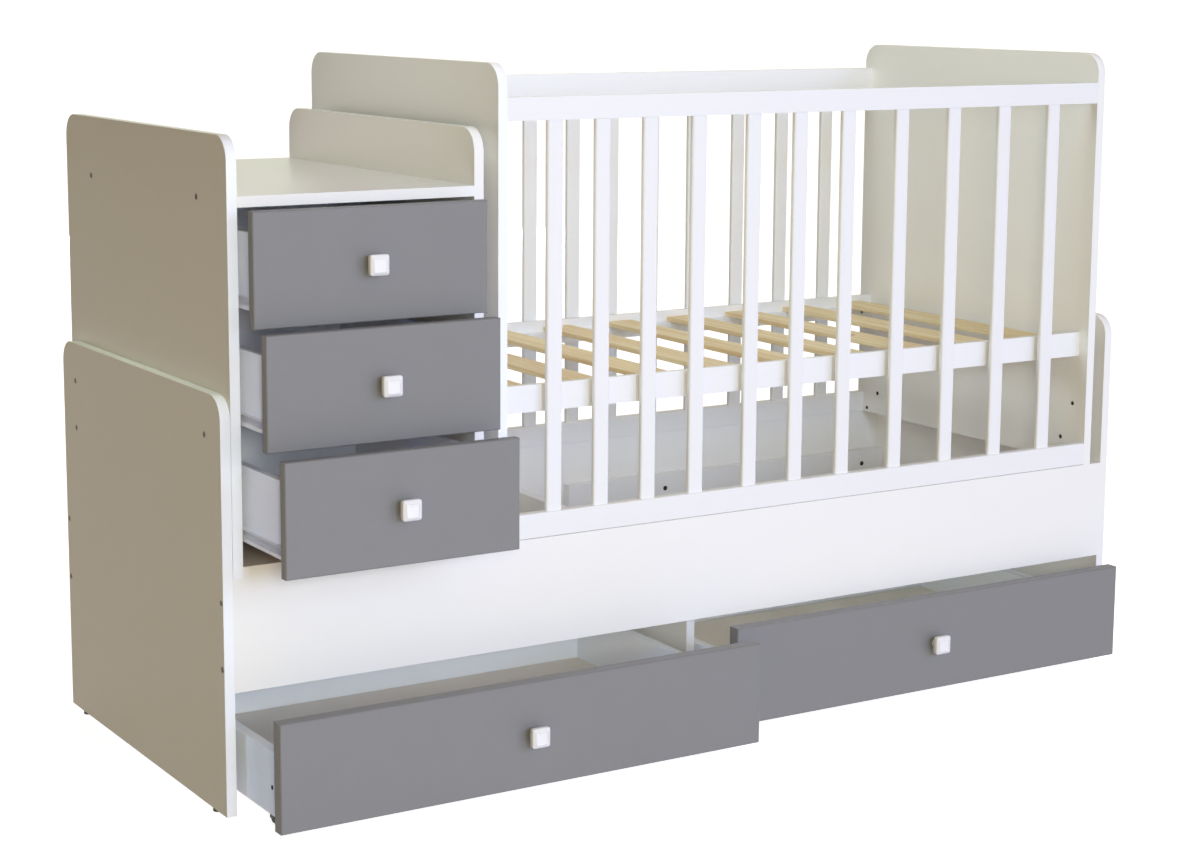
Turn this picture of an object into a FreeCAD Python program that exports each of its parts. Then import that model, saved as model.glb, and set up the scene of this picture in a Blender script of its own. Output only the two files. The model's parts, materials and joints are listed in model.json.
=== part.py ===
import FreeCAD, Part
import os

os.makedirs("parts", exist_ok=True)

V = FreeCAD.Vector
X_AXIS = V(1, 0, 0)
Y_AXIS = V(0, 1, 0)
Z_AXIS = V(0, 0, 1)

# Whole piece, in millimetres. X runs from the left end to the right end,
# Y from the front face (negative is out into the room) to the rear, Z up from the floor.
base_length = 1735.0
base_depth = 660.0
board = 16.0
corner_radius = 36.0

# Low bed frame
glide_height = 6.0
glide_radius = 7.5
glide_inset = 53.0
end_height = 635.0
rail_bottom = 194.0
rail_top = 366.0
partition_height = 287.0
partition_setback = 66.0
ledger_height = 40.0
ledger_depth = 20.0
ledger_centre_gap = 102.5

# Chest of drawers on the left of the bed frame
chest_width = 418.0
chest_height = 1009.0
chest_top_height = 922.5
chest_seam = 0.4
back_sheet = 3.0

# Crib on the right of the bed frame
crib_end_gap = 25.5
crib_rear_inset = 5.0
crib_height = 1104.5
side_rail_depth = 18.0
gate_top_drop = 51.5
gate_top_rail_height = 36.0
rear_top_drop = 46.0
rear_top_rail_height = 46.0
bottom_rail_height = 40.0
bar_width = 28.0
bar_depth = 10.0
bar_tenon = 8.0
# Bar centres along the clear length, as fractions read from the photograph.
# The three leftmost rear bars stand behind the chest and continue the spacing.
gate_bar_places = (0.073, 0.145, 0.219, 0.296, 0.385, 0.463, 0.545, 0.639, 0.733, 0.826, 0.920)
rear_bar_places = (0.098, 0.181, 0.265, 0.348, 0.425, 0.496, 0.572, 0.650, 0.736, 0.823, 0.913)

# Slatted mattress base
base_rail_top = 606.0
base_rail_height = 43.0
base_rail_depth = 20.0
base_rail_gap = 4.0
slat_count = 9
slat_width = 58.0
slat_thickness = 9.0
slat_recess = 11.0
slat_shelf = 10.0
slat_end_gap = 24.0
spare_hole_radius = 4.0
spare_hole_depth = 10.0
spare_hole_low = 408.0
spare_hole_high = 474.0
spare_hole_low_inset = 62.0
spare_hole_high_inset = 34.0

# Drawers: how far each stands open in the photograph
chest_drawer_names = ("upper", "middle", "lower")
chest_drawer_open = (46.0, 86.0, 143.0)
bed_drawer_names = ("left", "right")
bed_drawer_open = (146.0, 58.0)

# Chest drawer boxes
front_side_gap = 3.0
front_gap = 3.0
front_top_gap = 2.0
front_bottom_gap = 10.0
front_bevel = 1.5
box_board = 12.0
box_bottom = 3.0
box_groove = 5.0
box_groove_lift = 9.0
chest_box_lift = 26.0
chest_box_height = 110.0
chest_box_depth = 500.0
runner_gap = 12.5
runner_sheet = 1.2
runner_web = 17.0
runner_lip = 8.0
runner_flange = 6.0
runner_clearance = 0.3
runner_start = 20.0
runner_length = 490.0

# Bed drawer boxes on castors
bed_front_board = 22.0
bed_front_bottom = 21.0
bed_front_top = 185.0
bed_front_side_gap = 5.0
bed_front_centre_gap = 17.0
bed_box_inset = 16.0
bed_box_bottom = 28.0
bed_box_top = 125.0
bed_box_depth = 500.0
bed_box_board = 16.0
bearer_width = 44.0
castor_inset = 26.0
castor_setback = 84.0
wheel_radius = 12.0
wheel_width = 14.0
axle_radius = 2.5
castor_sheet = 2.0
castor_plate = 30.0
castor_cheek = 14.0
castor_rim = 1.5
wheel_edge = 1.5
turning_clearance = 0.4

# Knobs
knob_size = 31.0
knob_head = 14.0
knob_neck = 10.0
knob_neck_radius = 8.0
knob_corner = 4.0
knob_edge = 2.5
knob_face = 19.0
knob_face_depth = 0.8
knob_screw_radius = 2.0
knob_screw_grip = 12.0

# Fixings
fixing_clearance = 0.3
screw_head_radius = 4.5
screw_head_depth = 3.0
screw_radius = 3.0
screw_long = 50.0
screw_short = 28.0
rail_screw_inset = 36.0
chest_screw_front = 60.0
chest_screw_rear = 56.0
chest_screw_drop = 63.0
chest_screw_pitch = 79.0
shelf_screw_inset = 112.0
ledger_screw_drop = 27.5
ledger_screw_near = 52.0
ledger_screw_end = 217.0
dowel_radius = 4.0
dowel_length = 30.0
bolt_radius = 3.0
bolt_head_radius = 7.0
bolt_head_height = 2.5
bolt_length = 50.0
nut_radius = 5.0
nut_setback = 27.0
nut_length = 14.0

# Positions that follow from the sizes above
inner_left = board
inner_right = base_length - board
centre_x = base_length / 2.0
chest_left = inner_left + chest_seam
chest_right = chest_left + chest_width
chest_inner_left = chest_left + board
chest_inner_right = chest_right - board
chest_floor = rail_top + board
chest_ceiling = chest_top_height - board
crib_left = chest_right + crib_end_gap
crib_right = inner_right - crib_end_gap
crib_inner_left = crib_left + board
crib_inner_right = crib_right - board
crib_clear_length = crib_inner_right - crib_inner_left
crib_depth = base_depth - crib_rear_inset
gate_top_height = crib_height - gate_top_drop
rear_top_height = crib_height - rear_top_drop
ledger_length = centre_x - inner_left - ledger_centre_gap
rear_side_front = crib_depth - side_rail_depth
knob_projection = knob_neck + knob_head
front_reach = max(chest_drawer_open + bed_drawer_open) + knob_projection
origin = V(centre_x, (base_depth - front_reach) / 2.0, 0)

pieces = {}


def box(x0, x1, y0, y1, z0, z1):
    return Part.makeBox(x1 - x0, y1 - y0, z1 - z0, V(x0, y0, z0))


def upright(x0, depth, z0, z1):
    """Standing board with its two top corners rounded."""
    body = box(x0, x0 + board, 0.0, depth, z0, z1)
    tops = []
    for edge in body.Edges:
        size = edge.BoundBox
        if size.ZMin > z1 - 0.01 and size.XLength > board / 2.0:
            tops.append(edge)
    return body.makeFillet(corner_radius, tops)


def cut_all(name, tools):
    """Take the tool shapes out of every solid of a piece."""
    result = []
    for solid in pieces[name]:
        for tool in tools:
            if solid.BoundBox.intersect(tool.BoundBox):
                solid = solid.cut(tool)
        result.append(solid)
    pieces[name] = result


def headed_rod(start, axis, radius, length, head_radius, head_length):
    """Screw or bolt: a head and a shank along one axis, both measured from the start."""
    head = Part.makeCylinder(head_radius, head_length, start, axis)
    shank = Part.makeCylinder(radius, length, start, axis)
    return head.fuse(shank)


def add_screws(boards, starts, axis, length):
    """Countersunk screws flush with a face, with their holes in the boards they join."""
    holes = []
    for start in starts:
        pieces["wood_screws"].append(
            headed_rod(start, axis, screw_radius, length, screw_head_radius, screw_head_depth))
        holes.append(
            headed_rod(start, axis, screw_radius + fixing_clearance, length,
                       screw_head_radius + fixing_clearance, screw_head_depth))
    for name in boards:
        cut_all(name, holes)


def build_bed_frame():
    """Low end panels, rails, partition, ledgers and glides."""
    rail_x0 = inner_left
    rail_x1 = inner_right
    rear_rail_front = base_depth - board
    pieces["left_end_panel"] = [upright(0.0, base_depth, glide_height, end_height)]
    pieces["right_end_panel"] = [upright(inner_right, base_depth, glide_height, end_height)]
    pieces["front_rail"] = [box(rail_x0, rail_x1, 0.0, board, rail_bottom, rail_top)]
    pieces["rear_rail"] = [box(rail_x0, rail_x1, rear_rail_front, base_depth, rail_bottom, rail_top)]
    part_x0 = centre_x - board / 2.0
    part_x1 = centre_x + board / 2.0
    wall = box(part_x0, part_x1, partition_setback, rear_rail_front, glide_height, partition_height)
    tongue = box(part_x0, part_x1, board, partition_setback, rail_bottom, partition_height)
    pieces["centre_partition"] = [wall.fuse(tongue).removeSplitter()]
    ledger_z0 = partition_height - ledger_height
    ledgers = []
    for y0 in (board, rear_rail_front - ledger_depth):
        y1 = y0 + ledger_depth
        ledgers.append(box(rail_x0, rail_x0 + ledger_length, y0, y1, ledger_z0, partition_height))
        ledgers.append(box(rail_x1 - ledger_length, rail_x1, y0, y1, ledger_z0, partition_height))
    pieces["ledger_strips"] = ledgers
    glides = []
    glide_places = []
    for x in (board / 2.0, base_length - board / 2.0):
        glide_places.append((x, glide_inset))
        glide_places.append((x, base_depth - glide_inset))
    glide_places.append((centre_x, partition_setback + glide_inset))
    glide_places.append((centre_x, rear_rail_front - glide_inset))
    for x, y in glide_places:
        glides.append(Part.makeCylinder(glide_radius, glide_height, V(x, y, 0.0), Z_AXIS))
    pieces["floor_glides"] = glides


def build_chest():
    """Sides, top, bottom, back sheet and the fixed half of the drawer runners."""
    pieces["chest_left_side"] = [upright(chest_left, base_depth, rail_top, chest_height)]
    pieces["chest_right_side"] = [upright(chest_inner_right, base_depth, rail_top, chest_height)]
    pieces["chest_top"] = [
        box(chest_inner_left, chest_inner_right, 0.0, base_depth, chest_ceiling, chest_top_height)]
    pieces["chest_bottom"] = [
        box(chest_inner_left, chest_inner_right, 0.0, base_depth, rail_top, chest_floor)]
    pieces["chest_back_sheet"] = [
        box(chest_inner_left, chest_inner_right, base_depth - back_sheet, base_depth,
            chest_floor, chest_ceiling)]
    runners = []
    for index in range(len(chest_drawer_names)):
        shelf_z1 = chest_front_bottom(index) + chest_box_lift - runner_clearance
        for side in (-1, 1):
            runners.append(runner_angle(side, shelf_z1, runner_start, -1))
    pieces["chest_fixed_runners"] = runners


def chest_front_height():
    room = chest_ceiling - chest_floor - front_top_gap - front_bottom_gap
    count = len(chest_drawer_names)
    return (room - front_gap * (count - 1)) / count


def chest_front_bottom(index):
    top = chest_ceiling - front_top_gap
    return top - (index + 1) * chest_front_height() - index * front_gap


def runner_angle(side, lip_z, y0, hang):
    """Folded steel beside a drawer: hang -1 is the cabinet half, an angle with its web below the
    lip, hang +1 the drawer half, a channel open at the top. Side -1 is left, +1 right."""
    if hang < 0:
        web_from = 0.0
    else:
        web_from = runner_gap - runner_sheet
    web_to = web_from + runner_sheet
    lip_from = web_from
    lip_to = web_from + runner_lip
    if hang > 0:
        lip_from = web_to - runner_lip
        lip_to = web_to
    web_z = sorted((lip_z, lip_z + hang * runner_web))
    lip_zs = sorted((lip_z, lip_z + hang * runner_sheet))
    spans = []
    for start, end in ((web_from, web_to), (lip_from, lip_to), (lip_from, lip_from + runner_sheet)):
        if side < 0:
            spans.append((chest_inner_left + start, chest_inner_left + end))
        else:
            spans.append((chest_inner_right - end, chest_inner_right - start))
    web = box(spans[0][0], spans[0][1], y0, y0 + runner_length, web_z[0], web_z[1])
    lip = box(spans[1][0], spans[1][1], y0, y0 + runner_length, lip_zs[0], lip_zs[1])
    shape = web.fuse(lip)
    if hang > 0:
        flange = box(spans[2][0], spans[2][1], y0, y0 + runner_length, lip_z, lip_z + runner_flange)
        shape = shape.fuse(flange)
    return shape.removeSplitter()


def barred_side(names, y0, top_z, top_height, places):
    """Two rails with upright bars let into them."""
    y1 = y0 + side_rail_depth
    low_z1 = rail_top + bottom_rail_height
    bar_y0 = y0 + (side_rail_depth - bar_depth) / 2.0
    bars = []
    for place in places:
        x = crib_inner_left + place * crib_clear_length
        bars.append(box(x - bar_width / 2.0, x + bar_width / 2.0, bar_y0, bar_y0 + bar_depth,
                        low_z1 - bar_tenon, top_z - top_height + bar_tenon))
    top_rail = box(crib_inner_left, crib_inner_right, y0, y1, top_z - top_height, top_z)
    low_rail = box(crib_inner_left, crib_inner_right, y0, y1, rail_top, low_z1)
    pieces[names[0]] = [top_rail]
    pieces[names[1]] = [low_rail]
    pieces[names[2]] = bars
    cut_all(names[0], bars)
    cut_all(names[1], bars)


def build_crib():
    """Tall end panels, the two barred sides and the slatted mattress base."""
    pieces["crib_left_end"] = [upright(crib_left, crib_depth, rail_top, crib_height)]
    pieces["crib_right_end"] = [upright(crib_inner_right, crib_depth, rail_top, crib_height)]
    barred_side(("gate_top_rail", "gate_bottom_rail", "gate_bars"), 0.0,
                gate_top_height, gate_top_rail_height, gate_bar_places)
    barred_side(("rear_top_rail", "rear_bottom_rail", "rear_bars"), rear_side_front,
                rear_top_height, rear_top_rail_height, rear_bar_places)
    front_y0 = side_rail_depth + base_rail_gap
    front_y1 = front_y0 + base_rail_depth
    rear_y1 = rear_side_front - base_rail_gap
    rear_y0 = rear_y1 - base_rail_depth
    base_rail_bottom = base_rail_top - base_rail_height
    slat_top = base_rail_top - slat_recess
    slat_bottom = slat_top - slat_thickness
    recess = box(crib_inner_left, crib_inner_right, front_y1 - slat_shelf, rear_y0 + slat_shelf,
                 slat_bottom, base_rail_top)
    rails = []
    for y0, y1 in ((front_y0, front_y1), (rear_y0, rear_y1)):
        rail = box(crib_inner_left, crib_inner_right, y0, y1, base_rail_bottom, base_rail_top)
        rails.append(rail.cut(recess))
    pieces["base_side_rails"] = rails
    slats = []
    pitch = (crib_clear_length - 2.0 * slat_end_gap - slat_width) / (slat_count - 1)
    for index in range(slat_count):
        x0 = crib_inner_left + slat_end_gap + index * pitch
        slats.append(box(x0, x0 + slat_width, front_y1 - slat_shelf, rear_y0 + slat_shelf,
                         slat_bottom, slat_top))
    pieces["base_slats"] = slats
    build_base_bolts((front_y0 + front_y1) / 2.0, (rear_y0 + rear_y1) / 2.0,
                     (base_rail_bottom + slat_bottom) / 2.0)
    spare_holes = []
    for x in (crib_inner_left - spare_hole_depth, crib_inner_right):
        for inset, z in ((spare_hole_low_inset, spare_hole_low), (spare_hole_high_inset, spare_hole_high)):
            for y in (inset, crib_depth - inset):
                spare_holes.append(
                    Part.makeCylinder(spare_hole_radius, spare_hole_depth, V(x, y, z), X_AXIS))
    cut_all("crib_left_end", spare_holes)
    cut_all("crib_right_end", spare_holes)


def build_base_bolts(front_y, rear_y, z):
    """Bolts through the tall panels into barrel nuts near the ends of the base rails."""
    bolts = []
    holes = []
    nut_holes = []
    nuts = []
    for y in (front_y, rear_y):
        for outer, toward in ((crib_left, 1), (crib_right, -1)):
            axis = X_AXIS * toward
            head_start = V(outer - toward * bolt_head_height, y, z)
            bolt = headed_rod(head_start, axis, bolt_radius, bolt_length + bolt_head_height,
                              bolt_head_radius, bolt_head_height)
            bolts.append(bolt)
            hole = Part.makeCylinder(bolt_radius + fixing_clearance, bolt_length, V(outer, y, z), axis)
            holes.append(hole)
            nut_x = outer + toward * (board + nut_setback)
            nut_start = V(nut_x, y - nut_length / 2.0, z)
            nut = Part.makeCylinder(nut_radius, nut_length, nut_start, Y_AXIS)
            nuts.append(nut.cut(hole))
            pocket_length = nut_length / 2.0 + base_rail_depth / 2.0
            pocket_start = V(nut_x, y - nut_length / 2.0, z)
            if y > crib_depth / 2.0:
                pocket_start = V(nut_x, y + nut_length / 2.0 - pocket_length, z)
            nut_holes.append(Part.makeCylinder(nut_radius + fixing_clearance, pocket_length,
                                               pocket_start, Y_AXIS))
    pieces["base_bolts"] = bolts + nuts
    for name in ("crib_left_end", "crib_right_end"):
        cut_all(name, holes)
    cut_all("base_side_rails", holes + nut_holes)


def build_fixings():
    """Screws through the panels into rails and shelves, and the dowels under the crib ends."""
    pieces["wood_screws"] = []
    rail_starts_left = []
    rail_starts_right = []
    for y in (board / 2.0, base_depth - board / 2.0):
        for z in (rail_bottom + rail_screw_inset, rail_top - rail_screw_inset):
            rail_starts_left.append(V(0.0, y, z))
            rail_starts_right.append(V(base_length, y, z))
    add_screws(("left_end_panel", "front_rail", "rear_rail"), rail_starts_left, X_AXIS, screw_long)
    add_screws(("right_end_panel", "front_rail", "rear_rail"), rail_starts_right, X_AXIS * -1, screw_long)
    chest_screw_z = end_height - chest_screw_drop
    chest_rear_y = base_depth - chest_screw_rear
    chest_starts = [V(0.0, chest_screw_front, chest_screw_z)]
    for z in (chest_screw_z, chest_screw_z - chest_screw_pitch):
        chest_starts.append(V(0.0, chest_rear_y, z))
    add_screws(("left_end_panel", "chest_left_side"), chest_starts, X_AXIS, screw_short)
    shelf_names = ("chest_top", "chest_bottom")
    left_starts = []
    right_starts = []
    for y in (shelf_screw_inset, base_depth - shelf_screw_inset):
        for z in (chest_top_height - board / 2.0, rail_top + board / 2.0):
            left_starts.append(V(chest_left, y, z))
            right_starts.append(V(chest_right, y, z))
    add_screws(("chest_left_side",) + shelf_names, left_starts, X_AXIS, screw_long)
    add_screws(("chest_right_side",) + shelf_names, right_starts, X_AXIS * -1, screw_long)
    ledger_z = partition_height - ledger_screw_drop
    front_starts = []
    rear_starts = []
    rear_face = base_depth - board - ledger_depth
    for offset in (ledger_screw_near, ledger_length - ledger_screw_end):
        for x in (inner_left + offset, inner_right - offset):
            front_starts.append(V(x, board + ledger_depth, ledger_z))
            rear_starts.append(V(x, rear_face, ledger_z))
    add_screws(("ledger_strips", "front_rail"), front_starts, Y_AXIS * -1, screw_short)
    add_screws(("ledger_strips", "rear_rail"), rear_starts, Y_AXIS, screw_short)
    rear_dowel_y = (base_depth - board + crib_depth) / 2.0
    dowels = []
    dowel_holes = []
    for x in (crib_left + board / 2.0, crib_right - board / 2.0):
        for y in (board / 2.0, rear_dowel_y):
            start = V(x, y, rail_top - dowel_length / 2.0)
            dowels.append(Part.makeCylinder(dowel_radius, dowel_length, start, Z_AXIS))
            dowel_holes.append(
                Part.makeCylinder(dowel_radius + fixing_clearance, dowel_length, start, Z_AXIS))
    pieces["crib_dowels"] = dowels
    for name in ("front_rail", "rear_rail", "crib_left_end", "crib_right_end"):
        cut_all(name, dowel_holes)


def rounded_knob(x, y_face, z):
    """Square pillow knob on a round neck, with a sunk square in its face."""
    half = knob_size / 2.0
    head_y1 = y_face - knob_neck
    head_y0 = head_y1 - knob_head
    head = box(x - half, x + half, head_y0, head_y1, z - half, z + half)
    corners = [e for e in head.Edges if e.BoundBox.YLength > knob_head / 2.0]
    head = head.makeFillet(knob_corner, corners)
    rims = [e for e in head.Edges if e.BoundBox.YLength < 0.01]
    head = head.makeFillet(knob_edge, rims)
    face = knob_face / 2.0
    head = head.cut(box(x - face, x + face, head_y0, head_y0 + knob_face_depth, z - face, z + face))
    neck = Part.makeCylinder(knob_neck_radius, knob_neck + knob_edge, V(x, y_face, z), Y_AXIS * -1)
    hole = Part.makeCylinder(knob_screw_radius + fixing_clearance, knob_screw_grip, V(x, y_face, z),
                             Y_AXIS * -1)
    return head.fuse(neck).cut(hole)


def drawer_front(x0, x1, y_face, thickness, z0, z1):
    """Front board with a small bevel round its outer face."""
    body = box(x0, x1, y_face, y_face + thickness, z0, z1)
    rims = [e for e in body.Edges if e.BoundBox.YMax < y_face + 0.01]
    return body.makeChamfer(front_bevel, rims)


def build_drawer(prefix, front_box, box_x, box_z, box_depth, side_board):
    """Front, box boards, bottom sheet and knob of one drawer."""
    x0, x1, y_face, thickness, z0, z1 = front_box
    back_of_front = y_face + thickness
    box_end = back_of_front + box_depth
    knob_x = (x0 + x1) / 2.0
    knob_z = (z0 + z1) / 2.0
    screw_length = thickness + knob_screw_grip
    screw_start = V(knob_x, back_of_front, knob_z)
    front = drawer_front(x0, x1, y_face, thickness, z0, z1)
    hole = Part.makeCylinder(knob_screw_radius + fixing_clearance, thickness, screw_start, Y_AXIS * -1)
    pieces[prefix + "_front"] = [front.cut(hole)]
    head_start = V(knob_x, back_of_front + screw_head_depth, knob_z)
    screw = headed_rod(head_start, Y_AXIS * -1, knob_screw_radius, screw_length + screw_head_depth,
                       screw_head_radius, screw_head_depth)
    pieces[prefix + "_knob"] = [rounded_knob(knob_x, y_face, knob_z), screw]
    sheet_z0 = box_z[0] + box_groove_lift
    sheet_z1 = sheet_z0 + box_bottom
    left_inner = box_x[0] + side_board
    right_inner = box_x[1] - side_board
    sheet = box(left_inner - box_groove, right_inner + box_groove, back_of_front, box_end,
                sheet_z0, sheet_z1)
    left = box(box_x[0], left_inner, back_of_front, box_end, box_z[0], box_z[1])
    right = box(right_inner, box_x[1], back_of_front, box_end, box_z[0], box_z[1])
    back = box(left_inner, right_inner, box_end - side_board, box_end, sheet_z1, box_z[1])
    pieces[prefix + "_box"] = [left.cut(sheet), right.cut(sheet), back]
    pieces[prefix + "_bottom"] = [sheet]


def build_chest_drawers():
    """Three drawers on steel runners between the chest sides."""
    for index, name in enumerate(chest_drawer_names):
        prefix = "chest_drawer_" + name
        z0 = chest_front_bottom(index)
        y_face = -chest_drawer_open[index]
        front_box = (chest_inner_left + front_side_gap, chest_inner_right - front_side_gap,
                     y_face, board, z0, z0 + chest_front_height())
        box_x = (chest_inner_left + runner_gap, chest_inner_right - runner_gap)
        box_z = (z0 + chest_box_lift, z0 + chest_box_lift + chest_box_height)
        build_drawer(prefix, front_box, box_x, box_z, chest_box_depth, box_board)
        runner_y0 = y_face + board
        pieces[prefix + "_runners"] = [runner_angle(-1, box_z[0], runner_y0, 1),
                                       runner_angle(1, box_z[0], runner_y0, 1)]


def castor_bracket(x, y):
    """Folded steel bracket under a bearer, with the axle across it."""
    half_plate = castor_plate / 2.0
    cheek_in = wheel_width / 2.0 + turning_clearance
    cheek_out = cheek_in + castor_sheet
    plate_z0 = bed_box_bottom - castor_sheet
    shape = box(x - half_plate, x + half_plate, y - half_plate, y + half_plate, plate_z0, bed_box_bottom)
    for side in (-1, 1):
        xs = sorted((x + side * cheek_in, x + side * cheek_out))
        cheek = box(xs[0], xs[1], y - castor_cheek / 2.0, y + castor_cheek / 2.0,
                    wheel_radius - axle_radius - castor_rim, plate_z0)
        shape = shape.fuse(cheek)
    axle = Part.makeCylinder(axle_radius, 2.0 * cheek_out, V(x - cheek_out, y, wheel_radius), X_AXIS)
    return shape.fuse(axle).removeSplitter()


def castor_wheel(x, y):
    """Hard wheel with softened rims, free on its axle."""
    wheel = Part.makeCylinder(wheel_radius, wheel_width, V(x - wheel_width / 2.0, y, wheel_radius), X_AXIS)
    rims = [e for e in wheel.Edges if e.BoundBox.XLength < 0.01]
    wheel = wheel.makeFillet(wheel_edge, rims)
    bore = Part.makeCylinder(axle_radius + turning_clearance, wheel_width,
                             V(x - wheel_width / 2.0, y, wheel_radius), X_AXIS)
    return wheel.cut(bore)


def build_bed_drawers():
    """Two drawers that roll on castors under the bed frame."""
    half_gap = bed_front_centre_gap / 2.0
    spans = ((inner_left + bed_front_side_gap, centre_x - half_gap),
             (centre_x + half_gap, inner_right - bed_front_side_gap))
    for index, name in enumerate(bed_drawer_names):
        prefix = "bed_drawer_" + name
        x0, x1 = spans[index]
        y_face = -bed_drawer_open[index]
        box_x = (x0 + bed_box_inset, x1 - bed_box_inset)
        front_box = (x0, x1, y_face, bed_front_board, bed_front_bottom, bed_front_top)
        build_drawer(prefix, front_box, box_x, (bed_box_bottom, bed_box_top), bed_box_depth,
                     bed_box_board)
        castor_xs = (box_x[0] + castor_inset, box_x[1] - castor_inset)
        front_y = y_face + bed_front_board + castor_setback
        rear_y = y_face + bed_front_board + bed_box_depth - castor_setback
        bearers = []
        brackets = []
        for place, y in (("front", front_y), ("rear", rear_y)):
            bearers.append(box(box_x[0] + bed_box_board, box_x[1] - bed_box_board,
                               y - bearer_width / 2.0, y + bearer_width / 2.0,
                               bed_box_bottom, bed_box_bottom + box_groove_lift))
            wheels = []
            for x in castor_xs:
                brackets.append(castor_bracket(x, y))
                wheels.append(castor_wheel(x, y))
            pieces[prefix + "_" + place + "_wheels"] = wheels
        pieces[prefix + "_bearers"] = bearers
        pieces[prefix + "_castor_brackets"] = brackets


def save_all():
    """Move every piece to the shared origin and write one file per piece."""
    for name, solids in pieces.items():
        if len(solids) == 1:
            shape = solids[0].copy()
        else:
            shape = Part.makeCompound(solids)
        shape.translate(origin * -1)
        shape.exportStep("parts/" + name + ".step")


build_bed_frame()
build_chest()
build_crib()
build_fixings()
build_chest_drawers()
build_bed_drawers()
save_all()
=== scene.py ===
import json
import math

import bmesh
import bpy
from mathutils import Matrix, Vector


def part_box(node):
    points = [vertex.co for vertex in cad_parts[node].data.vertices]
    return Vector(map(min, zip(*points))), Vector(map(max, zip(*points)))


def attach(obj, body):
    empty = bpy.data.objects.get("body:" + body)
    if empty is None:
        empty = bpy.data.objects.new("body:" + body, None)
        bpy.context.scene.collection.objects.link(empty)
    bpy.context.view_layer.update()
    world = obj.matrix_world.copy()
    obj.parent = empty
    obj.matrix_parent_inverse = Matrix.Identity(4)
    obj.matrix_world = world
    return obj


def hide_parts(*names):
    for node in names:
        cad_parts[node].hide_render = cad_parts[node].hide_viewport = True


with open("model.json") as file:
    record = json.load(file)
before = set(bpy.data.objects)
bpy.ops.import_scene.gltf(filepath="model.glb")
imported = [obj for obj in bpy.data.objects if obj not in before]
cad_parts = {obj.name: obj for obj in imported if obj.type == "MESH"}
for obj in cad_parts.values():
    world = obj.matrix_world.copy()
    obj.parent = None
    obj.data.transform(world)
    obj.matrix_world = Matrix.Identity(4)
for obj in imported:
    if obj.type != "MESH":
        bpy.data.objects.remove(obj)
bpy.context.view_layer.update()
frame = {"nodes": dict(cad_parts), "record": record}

bl_info = {
    "name": "Convertible crib finishes",
    "version": (1, 0, 0),
    "blender": (4, 5, 0),
    "location": "View3D > Sidebar > Crib",
    "description": "Finishes, knobs, castors, light and camera for the convertible crib",
    "category": "Object",
}

MM = 0.001

CHEST_DRAWERS = ("chest_drawer_upper", "chest_drawer_middle", "chest_drawer_lower")
BED_DRAWERS = ("bed_drawer_left", "bed_drawer_right")
BARS = ("gate_bars", "rear_bars")
BOTTOM_RAILS = ("gate_bottom_rail", "rear_bottom_rail")
LEFT_EDGES = ("left_end_panel", "chest_left_side", "crib_left_end")
BOX_FINISHES = ("cool_white_foiled_board", "white_powder_coated_steel")

WHITE = (1.0, 1.0, 1.0, 1.0)

# Place of each axis in a point.
X_AXIS = 0
Y_AXIS = 1
Z_AXIS = 2

# Sockets of a colour mix: its share, its two colours and its result.
MIX_SHARE = 0
MIX_FIRST = 6
MIX_SECOND = 7
MIX_RESULT = 2

# Roundness of a true circle, and how many points go round a piece.
CIRCLE = 2.0
KNOB_POINTS = 72
WHEEL_POINTS = 48
SCREW_POINTS = 32


def linear(hex_text):
    """sRGB hex value as linear red, green and blue."""
    values = []
    for start in (1, 3, 5):
        share = int(hex_text[start:start + 2], 16) / 255.0
        values.append(share / 12.92 if share <= 0.04045 else ((share + 0.055) / 1.055) ** 2.4)
    return tuple(values)


def rgba(colour):
    """Colour as the four numbers a socket takes."""
    return tuple(colour) + (1.0,)


def shaded(colour, share):
    """Colour at a share of its brightness, as the four numbers a socket takes."""
    return rgba(part * share for part in colour)


class CribSizes(bpy.types.PropertyGroup):
    """Edge roundings and small pieces that a user would change."""
    board_edge: bpy.props.FloatProperty(
        name="Board edge", description="Rounding of the laminated boards' edging",
        default=0.8 * MM, min=0.0, subtype="DISTANCE", unit="LENGTH")
    bar_edge: bpy.props.FloatProperty(
        name="Bar edge", description="Rounding along the crib bars",
        default=3.5 * MM, min=0.0, subtype="DISTANCE", unit="LENGTH")
    rail_edge: bpy.props.FloatProperty(
        name="Rail edge", description="Rounding along the lacquered rails",
        default=3.0 * MM, min=0.0, subtype="DISTANCE", unit="LENGTH")
    rail_gap: bpy.props.FloatProperty(
        name="Rail gap", description="Height of the shadow gap under the crib sides' bottom rails",
        default=0.6 * MM, min=0.0, subtype="DISTANCE", unit="LENGTH")
    slat_edge: bpy.props.FloatProperty(
        name="Slat edge", description="Rounding along the pine slats",
        default=1.5 * MM, min=0.0, subtype="DISTANCE", unit="LENGTH")
    metal_edge: bpy.props.FloatProperty(
        name="Metal edge", description="Rounding of folded steel and screw heads",
        default=0.25 * MM, min=0.0, subtype="DISTANCE", unit="LENGTH")
    knob_size: bpy.props.FloatProperty(
        name="Knob", description="Side of the square knob",
        default=31.0 * MM, min=0.0, subtype="DISTANCE", unit="LENGTH")
    knob_reach: bpy.props.FloatProperty(
        name="Knob reach", description="How far the knob stands out from the drawer front",
        default=24.0 * MM, min=0.0, subtype="DISTANCE", unit="LENGTH")
    knob_face: bpy.props.FloatProperty(
        name="Knob face", description="Side of the square sunk in the knob's face",
        default=19.0 * MM, min=0.0, subtype="DISTANCE", unit="LENGTH")
    wheel_width: bpy.props.FloatProperty(
        name="Wheel width", description="Width of a castor wheel",
        default=14.0 * MM, min=0.0, subtype="DISTANCE", unit="LENGTH")
    side_screw: bpy.props.FloatProperty(
        name="Side screw", description="Diameter of the side screws' and foot screws' heads",
        default=7.0 * MM, min=0.0, subtype="DISTANCE", unit="LENGTH")


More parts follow.
